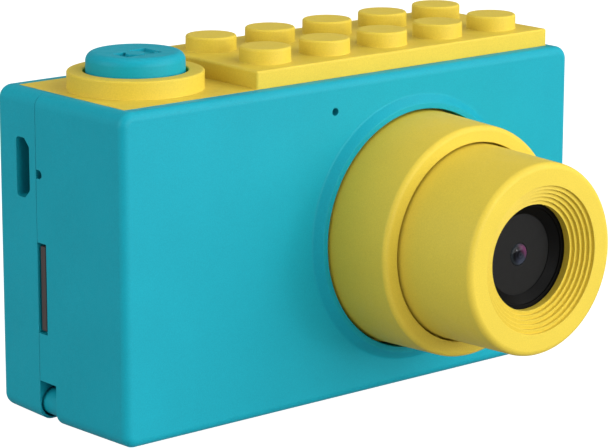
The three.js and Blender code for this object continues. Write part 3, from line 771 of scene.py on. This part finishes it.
def bezel():
    front, back, eye, eye_y = -20.75, -16.9, 5.25, -19.7
    return turned([(FLOOR_R - 0.02, front, 0.08), (10.9, front, 0), (10.9, back, 0), (6.5, back, 0),
                   (6.5, eye_y + 0.05, 0), (eye, eye_y + 0.05, 0), (eye, eye_y, 0.06),
                   (6.35, front + 0.22, 0.05), (6.4, front, 0.05)], "Y", LENS.x, LENS.z, 128, 4)


def disc():
    hole_r, rim_r, front, back = 1.48, 6.2, -19.6, -18.9
    return turned([(hole_r, front, 0.05), (rim_r, front, 0), (rim_r, back, 0), (hole_r, back, 0)],
                  "Y", LENS.x, LENS.z, 96)


def small_glass():
    low, high = laid_out("lens_glass")
    r = (high.x - low.x) / 2
    n, sag = 10, 0.45
    turns = [math.pi / 2 * k / n for k in range(n + 1)]
    dome = [(r * math.sin(t), low.y + sag * (1 - math.cos(t)), 0) for t in turns]
    return turned(dome + [(r, high.y, 0), (0, high.y, 0)], "Y", LENS.x, LENS.z, 64)


piece("barrel_outer", outer_barrel(), yellow, "yellow_plastic", "case", "lens_outer_barrel")
piece("barrel_inner", inner_barrel(), yellow, "yellow_plastic", "case", "lens_inner_barrel")
piece("bezel_ring", bezel(), bezel_black, "black_plastic", "case", "lens_bezel")
piece("aperture_disc", disc(), dark_disc, "disc_plastic", "case", "lens_disc")
piece("front_glass", small_glass(), glass, "lens_glass", "case", "lens_glass")


# ---------------------------------------------------------------- back
def mark(outlines, y=KEY_BACK, sunk=0.15):
    return [prism(o, "Y", y - sunk, y + 1) for o in outlines]


def round_key(name, radius, marks=()):
    low, high = laid_out(name)
    c = (low + high) / 2
    flange_r, flange_y = radius + 0.7, low.y + 1.2
    solid = turned([(0, low.y, 0), (flange_r, low.y, 0.1), (flange_r, flange_y, 0.1), (radius, flange_y, 0),
                    (radius, high.y, 0.4), (0, high.y, 0)], "Y", c.x, c.z, 72)
    return cut(solid, *mark(marks))


def arrow_key(name, turn):
    low, high = laid_out(name)
    base = prism(arrow_outline(turn), "Y", low.y, low.y + 1.2)
    cap = prism(arrow_outline(turn), "Y", low.y + 0.9, high.y, 0, 0.32, 5)
    t = math.radians(turn)
    out, side = Vector((math.cos(t), math.sin(t))), Vector((-math.sin(t), math.cos(t)))
    c = Vector((PAD.x, PAD.z)) + out * 5.35
    tip, left, right = c + out * 0.8, c - out * 0.5 + side * 1.0, c - out * 0.5 - side * 1.0
    arrow = rounded([(p.x, p.y, 0.12) for p in (tip, left, right)], 3)
    return cut(join(base, cap), *mark([arrow]))


def power_marks(c):
    ring, steps, start, sweep = [], 24, 125, 290
    for radius, first, step in ((1.05, start, sweep / steps), (0.75, start + sweep, -sweep / steps)):
        for k in range(steps + 1):
            a = math.radians(first + step * k)
            ring.append(Vector((c.x + radius * math.cos(a), c.z + radius * math.sin(a))))
    return [ring, rectangle(c.x - 0.15, c.x + 0.15, c.z + 0.2, c.z + 1.2, 0.1, 3)]


def menu_marks(c):
    return [rectangle(c.x - 0.9, c.x + 0.9, c.z + d - 0.14, c.z + d + 0.14, 0.1, 3)
            for d in (-0.6, 0.0, 0.6)]


def display():
    o = rectangle(window_low.x, window_high.x, window_low.z, window_high.z, 2.35)
    return prism(o, "Y", window_low.y, window_high.y, 0, 0.12, 3)


def case_screw(index):
    low, high = laid_out(f"case_screw_{index}")
    c, seat = (low + high) / 2, 24.35
    shank_r, head_r = 0.95, 1.5
    solid = turned([(0, low.y, 0), (shank_r, low.y + 0.5, 0), (shank_r, seat, 0), (head_r, seat, 0.1),
                    (head_r, high.y - 0.25, 0.3), (0.9, high.y, 0.4), (0, high.y, 0)], "Y", c.x, c.z, 40)
    arms = [rectangle(c.x - a, c.x + a, c.z - b, c.z + b, 0.05, 2) for a, b in ((0.85, 0.2), (0.2, 0.85))]
    return cut(solid, *[prism(o, "Y", high.y - 0.6, high.y + 1) for o in arms])


keys = round_keys()
piece("ok_cap", round_key("ok_key", OK_R), key_yellow, "yellow_plastic", "ok_key_body", "ok_key")
piece("power_cap", round_key("power_key", KEY_R, power_marks(keys["power_key"])), key_yellow,
      "yellow_plastic", "power_key_body", "power_key")
piece("menu_cap", round_key("menu_key", KEY_R, menu_marks(keys["menu_key"])), key_yellow,
      "yellow_plastic", "menu_key_body", "menu_key")
for name, turn in ARROWS.items():
    piece(name.replace("_key", "_cap"), arrow_key(name, turn), key_yellow,
          "yellow_plastic", f"{name}_body", name)
piece("screen_window", display(), window, "display_window", "case", "display_window")
for i in (1, 2, 3, 4):
    piece(f"cross_screw_{i}", case_screw(i), steel, "screw_steel", "case", f"case_screw_{i}")


# ---------------------------------------------------------------- port and card
def memory_card():
    y0, y1, x0, x1, z0, z1 = card_low.y, card_high.y, card_low.x, card_high.x, card_low.z, card_high.z
    outline = rounded([(x0, z0, 0.3), (x1, z0, 0.3), (x1, z1 - 1.6, 0.3), (x1 - 1.6, z1, 0.3),
                       (x0, z1, 0.3)], 4)
    ridge = box(x0, x0 + 1.4, y0 - 0.05, y1 + 0.17, z0, z1, 0.1, 3)
    return join(prism(outline, "Y", y0, y1, 0.12, 0.12, 3), ridge)


def port_shell():
    low, high = laid_out("usb_shell")
    return cut(prism(usb_outline(-0.15), "X", low.x, high.x),
               prism(usb_outline(-0.45), "X", low.x - 1, high.x - 0.6))


piece("memory_card", memory_card(), card_dark, "card_plastic", "card", "microsd_card")
piece("port_shell", port_shell(), port_shell_painted_shade, "sheet_metal", "case", "usb_shell")


# ---------------------------------------------------------------- floor, light and camera
def floor_material():
    material = bpy.data.materials.new("studio_floor")
    material.use_nodes = True
    tree = material.node_tree
    surface = tree.nodes["Principled BSDF"]
    surface.inputs["Base Color"].default_value = (0.22, 0.22, 0.22, 1)
    surface.inputs["Roughness"].default_value = 0.9
    surface.inputs["Specular IOR Level"].default_value = 0.0
    surface.inputs["Emission Color"].default_value = (1, 1, 1, 1)
    glow = tree.nodes.new("ShaderNodeMapRange")
    glow.inputs["To Min"].default_value, glow.inputs["To Max"].default_value = FLOOR_GLOW, 1.0
    tree.links.new(tree.nodes.new("ShaderNodeLightPath").outputs["Is Camera Ray"], glow.inputs["Value"])
    tree.links.new(glow.outputs["Result"], surface.inputs["Emission Strength"])
    return material


SKY_LOW, SKY_HIGH = 0.44, 0.38
FLOOR_GLOW = 0.19

bm = bmesh.new()
bmesh.ops.create_grid(bm, x_segments=2, y_segments=2, size=6.0)
bmesh.ops.translate(bm, vec=(0, 0, -0.0002), verts=bm.verts[:])
floor = to_object(bm, "floor")
bm.free()
floor.data.materials.append(floor_material())

world = bpy.data.worlds.new("studio")
bpy.context.scene.world = world
world.use_nodes = True
sky = world.node_tree
behind = sky.nodes["Background"]
behind.inputs["Color"].default_value = (1, 1, 1, 1)
dome = sky.nodes.new("ShaderNodeBackground")
up_ramp = sky.nodes.new("ShaderNodeMapRange")
up_ramp.interpolation_type = "SMOOTHSTEP"
axes = sky.nodes.new("ShaderNodeSeparateXYZ")
sky.links.new(sky.nodes.new("ShaderNodeTexCoord").outputs["Generated"], axes.inputs["Vector"])
sky.links.new(axes.outputs["Z"], up_ramp.inputs["Value"])
up_ramp.inputs["From Min"].default_value, up_ramp.inputs["From Max"].default_value = -0.6, 0.6
up_ramp.inputs["To Min"].default_value, up_ramp.inputs["To Max"].default_value = SKY_LOW, SKY_HIGH
sky.links.new(up_ramp.outputs["Result"], dome.inputs["Strength"])
seen = sky.nodes.new("ShaderNodeMixShader")
sky.links.new(sky.nodes.new("ShaderNodeLightPath").outputs["Is Camera Ray"], seen.inputs["Fac"])
sky.links.new(dome.outputs["Background"], seen.inputs[1])
sky.links.new(behind.outputs["Background"], seen.inputs[2])
sky.links.new(seen.outputs["Shader"], sky.nodes["World Output"].inputs["Surface"])

CENTRE = ORIGIN + Vector((WIDTH / 2, DEPTH / 2, HEIGHT / 2)) * MM


def area_light(name, direction, distance, size, power):
    data = bpy.data.lights.new(name, "AREA")
    data.shape, data.size, data.energy = "DISK", size, power
    lamp = bpy.data.objects.new(name, data)
    bpy.context.scene.collection.objects.link(lamp)
    d = Vector(direction).normalized()
    lamp.location = CENTRE + d * distance
    lamp.rotation_euler = d.to_track_quat("Z", "Y").to_euler()
    return lamp


LIGHTS = [
    ("front_soft", (0, -1, 0.15), 0.8, 0.7, 5.9),
    ("front_right", (0.8, -1, 0.2), 0.8, 0.5, 2.2),
    ("key_right", (0.6, -1, 0.8), 0.8, 0.5, 0.7),
    ("high_right", (1, -0.6, 1.1), 0.8, 0.5, 1.8),
    ("left_soft", (-1, 0.2, 0.4), 0.8, 0.6, 3.1),
    ("top_soft", (0, 0, 1), 0.8, 0.6, 1.2),
    ("glint_high", (0.37, -0.92, 0.09), 0.8, 0.05, 0.34),
    ("glint_low", (0.46, -0.9, 0.03), 0.8, 0.03, 0.12),
]
for light in LIGHTS:
    area_light(*light)

camera_data = bpy.data.cameras.new("camera")
camera = bpy.data.objects.new("camera", camera_data)
bpy.context.scene.collection.objects.link(camera)
YAW, PITCH, ROLL = math.radians(40.37), math.radians(-13.44), math.radians(-0.11)
forward = Vector((math.sin(YAW) * math.cos(PITCH), math.cos(YAW) * math.cos(PITCH), math.sin(PITCH)))
right = Vector((math.cos(YAW), -math.sin(YAW), 0))
up = right.cross(forward)
turn = Matrix.Rotation(ROLL, 3, forward)
right, up = turn @ right, turn @ up
eye = ORIGIN + Vector((-199.73, -269.13, 109.02)) * MM
camera.matrix_world = Matrix((
    (right.x, up.x, -forward.x, eye.x), (right.y, up.y, -forward.y, eye.y),
    (right.z, up.z, -forward.z, eye.z), (0, 0, 0, 1)))
camera_data.sensor_width, camera_data.lens = 36.0, 168.56
camera_data.shift_x, camera_data.shift_y = -0.0016, 0.0010
camera_data.clip_start, camera_data.clip_end = 0.01, 20
bpy.context.scene.camera = camera
bpy.context.scene.view_settings.view_transform = "Standard"
